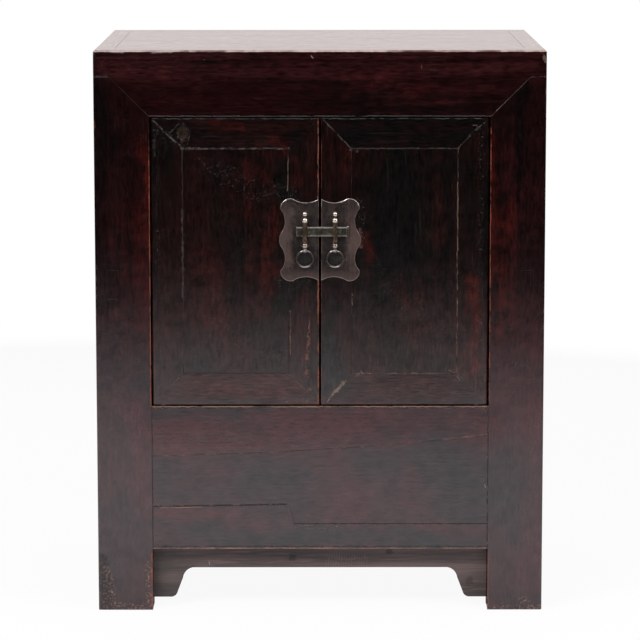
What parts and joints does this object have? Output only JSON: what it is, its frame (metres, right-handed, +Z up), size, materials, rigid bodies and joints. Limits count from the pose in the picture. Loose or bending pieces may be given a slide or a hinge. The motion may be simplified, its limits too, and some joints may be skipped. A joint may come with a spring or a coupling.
{
  "type": "side cabinet",
  "caption": "Side cabinet with a mitred front frame, pivot-hung panel doors, a shelf, a closed well under a lift-out floor, iron face plates, ring pulls and a sliding lock bar.",
  "frame": {"origin": "on the floor, under the middle of the whole object's box", "axes": "+Z up, the doors face -Y, +X to the right as seen from the front"},
  "size_m": [0.66, 0.5037, 0.833],
  "materials": {
    "case_lacquer": "glossy dark red-black lacquer, worn along the edges",
    "door_lacquer": "glossy near-black lacquer with red-brown rubbed patches",
    "plain_wood": "dry unlacquered softwood, darkened with age",
    "apron_wood": "dull brown-black wood with open grain",
    "plate_iron": "dull purple-brown iron with bright worn edges",
    "ring_iron": "worn wrought iron",
    "post_brass": "tarnished brass, bright on the beads",
    "bar_bronze": "dark bronze, bright along the rims"
  },
  "bodies": {
    "case": {"apron": "apron_wood", "back_board_left": "plain_wood", "back_board_right": "plain_wood", "back_panel_lower": "plain_wood", "door_stops": "plain_wood", "floor_board_left": "plain_wood", "floor_board_right": "plain_wood", "floor_ledger_left": "plain_wood", "floor_ledger_right": "plain_wood", "front_bottom_rail": "case_lacquer", "front_post_left": "case_lacquer", "front_post_right": "case_lacquer", "front_top_rail": "case_lacquer", "rear_bottom_rail": "plain_wood", "rear_mid_rail": "plain_wood", "rear_post_left": "case_lacquer", "rear_post_right": "case_lacquer", "rear_top_rail": "case_lacquer", "shelf_board": "plain_wood", "shelf_rail_left": "plain_wood", "shelf_rail_right": "plain_wood", "side_bottom_rail_left": "case_lacquer", "side_bottom_rail_right": "case_lacquer", "side_panel_left": "case_lacquer", "side_panel_right": "case_lacquer", "side_top_rail_left": "case_lacquer", "side_top_rail_right": "case_lacquer", "sill_rail": "case_lacquer", "top_batten_left": "plain_wood", "top_batten_right": "plain_wood", "top_panel": "case_lacquer", "well_board": "case_lacquer", "well_floor": "plain_wood"},
    "door_left": {"door_batten_left": "plain_wood", "door_bottom_rail_left": "door_lacquer", "door_hinge_stile_left": "door_lacquer", "door_meeting_stile_left": "door_lacquer", "door_panel_left": "door_lacquer", "door_top_rail_left": "door_lacquer", "face_plate_left": "plate_iron", "mitre_keys_left": "plain_wood", "plate_tacks_left": "plate_iron", "ring_eye_left": "ring_iron", "turned_post_left": "post_brass"},
    "door_right": {"door_batten_right": "plain_wood", "door_bottom_rail_right": "door_lacquer", "door_hinge_stile_right": "door_lacquer", "door_meeting_stile_right": "door_lacquer", "door_panel_right": "door_lacquer", "door_top_rail_right": "door_lacquer", "face_plate_right": "plate_iron", "mitre_keys_right": "plain_wood", "plate_tacks_right": "plate_iron", "ring_eye_right": "ring_iron", "turned_post_right": "post_brass"},
    "lid": {"floor_lid": "plain_wood"},
    "pull_left": {"ring_left": "ring_iron"},
    "pull_right": {"ring_right": "ring_iron"},
    "bar": {"lock_bar": "bar_bronze"}
  },
  "joints": [
    {"name": "door_left_hinge", "type": "hinge", "parent": "case", "child": "door_left", "pos_m": [-0.2314, -0.22815, 0.5225], "axis": [0, 0, -1], "range_deg": [0, 110]},
    {"name": "door_right_hinge", "type": "hinge", "parent": "case", "child": "door_right", "pos_m": [0.2314, -0.22815, 0.5225], "axis": [0, 0, 1], "range_deg": [0, 110]},
    {"name": "lock_bar_slide", "type": "slide", "parent": "door_right", "child": "bar", "axis": [1, 0, 0], "range_m": [0, 0.042]},
    {"name": "ring_left_swing", "type": "hinge", "parent": "door_left", "child": "pull_left", "pos_m": [-0.022, -0.24315, 0.5399], "axis": [-1, 0, 0], "range_deg": [0, 100]},
    {"name": "ring_right_swing", "type": "hinge", "parent": "door_right", "child": "pull_right", "pos_m": [0.022, -0.24315, 0.5399], "axis": [-1, 0, 0], "range_deg": [0, 100]},
    {"name": "floor_lid_lift", "type": "slide", "parent": "case", "child": "lid", "axis": [0, 0, 1], "range_m": [0, 0.18]}
  ]
}
